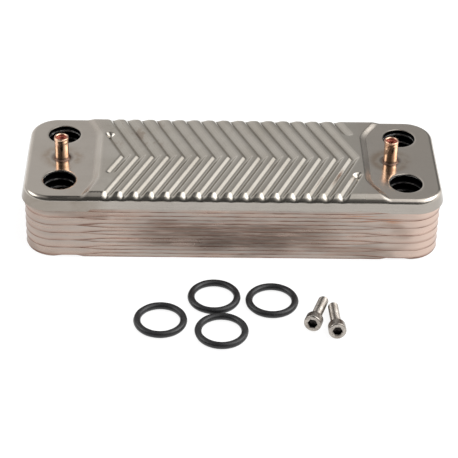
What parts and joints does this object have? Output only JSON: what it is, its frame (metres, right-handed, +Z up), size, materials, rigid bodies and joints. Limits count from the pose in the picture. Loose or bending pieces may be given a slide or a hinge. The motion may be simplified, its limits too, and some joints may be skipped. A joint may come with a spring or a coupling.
{
  "type": "plate heat exchanger",
  "caption": "Brazed steel plate heat exchanger block with ports on one face, chevron pressed cover, threaded copper sleeves, loose port seals and cap screws.",
  "frame": {"origin": "centre of the plane that the back plate's rim rests on, midway between the four port axes", "axes": "+X along the block towards the sleeve that stands nearer the middle, +Y across it away from the loose seals and screws, +Z up out of the ports"},
  "size_m": [0.2098, 0.1493, 0.0472],
  "materials": {
    "cover_steel": "satin pressed stainless steel",
    "channel_steel": "satin stainless steel tinted by a copper film from brazing",
    "braze_copper": "melted copper",
    "sleeve_copper": "bright turned copper alloy",
    "seal_rubber": "matt black rubber",
    "screw_steel": "satin stainless steel"
  },
  "bodies": {
    "block": {"cover_plate": "cover_steel", "channel_plate_01": "channel_steel", "channel_plate_02": "channel_steel", "channel_plate_03": "channel_steel", "channel_plate_04": "channel_steel", "channel_plate_05": "channel_steel", "channel_plate_06": "channel_steel", "channel_plate_07": "channel_steel", "channel_plate_08": "channel_steel", "channel_plate_09": "channel_steel", "channel_plate_10": "channel_steel", "channel_plate_11": "channel_steel", "channel_plate_12": "channel_steel", "back_plate": "channel_steel", "braze_joint_01": "braze_copper", "braze_joint_02": "braze_copper", "braze_joint_03": "braze_copper", "braze_joint_04": "braze_copper", "braze_joint_05": "braze_copper", "braze_joint_06": "braze_copper", "braze_joint_07": "braze_copper", "braze_joint_08": "braze_copper", "braze_joint_09": "braze_copper", "braze_joint_10": "braze_copper", "braze_joint_11": "braze_copper", "braze_joint_12": "braze_copper", "braze_joint_13": "braze_copper", "left_sleeve": "sleeve_copper", "right_sleeve": "sleeve_copper", "left_sleeve_fillet": "braze_copper", "right_sleeve_fillet": "braze_copper"},
    "o_ring_1": {"o_ring_1": "seal_rubber"},
    "o_ring_2": {"o_ring_2": "seal_rubber"},
    "o_ring_3": {"o_ring_3": "seal_rubber"},
    "o_ring_4": {"o_ring_4": "seal_rubber"},
    "cap_screw_1": {"cap_screw_1": "screw_steel"},
    "cap_screw_2": {"cap_screw_2": "screw_steel"}
  },
  "joints": [
    {"name": "o_ring_1_lift", "type": "slide", "parent": "block", "child": "o_ring_1", "axis": [0, 0, 1], "range_m": [0, 0.06]},
    {"name": "o_ring_2_lift", "type": "slide", "parent": "block", "child": "o_ring_2", "axis": [0, 0, 1], "range_m": [0, 0.06]},
    {"name": "o_ring_3_lift", "type": "slide", "parent": "block", "child": "o_ring_3", "axis": [0, 0, 1], "range_m": [0, 0.06]},
    {"name": "o_ring_4_lift", "type": "slide", "parent": "block", "child": "o_ring_4", "axis": [0, 0, 1], "range_m": [0, 0.06]},
    {"name": "cap_screw_1_lift", "type": "slide", "parent": "block", "child": "cap_screw_1", "axis": [0, 0, 1], "range_m": [0, 0.06]},
    {"name": "cap_screw_2_lift", "type": "slide", "parent": "block", "child": "cap_screw_2", "axis": [0, 0, 1], "range_m": [0, 0.06]}
  ]
}
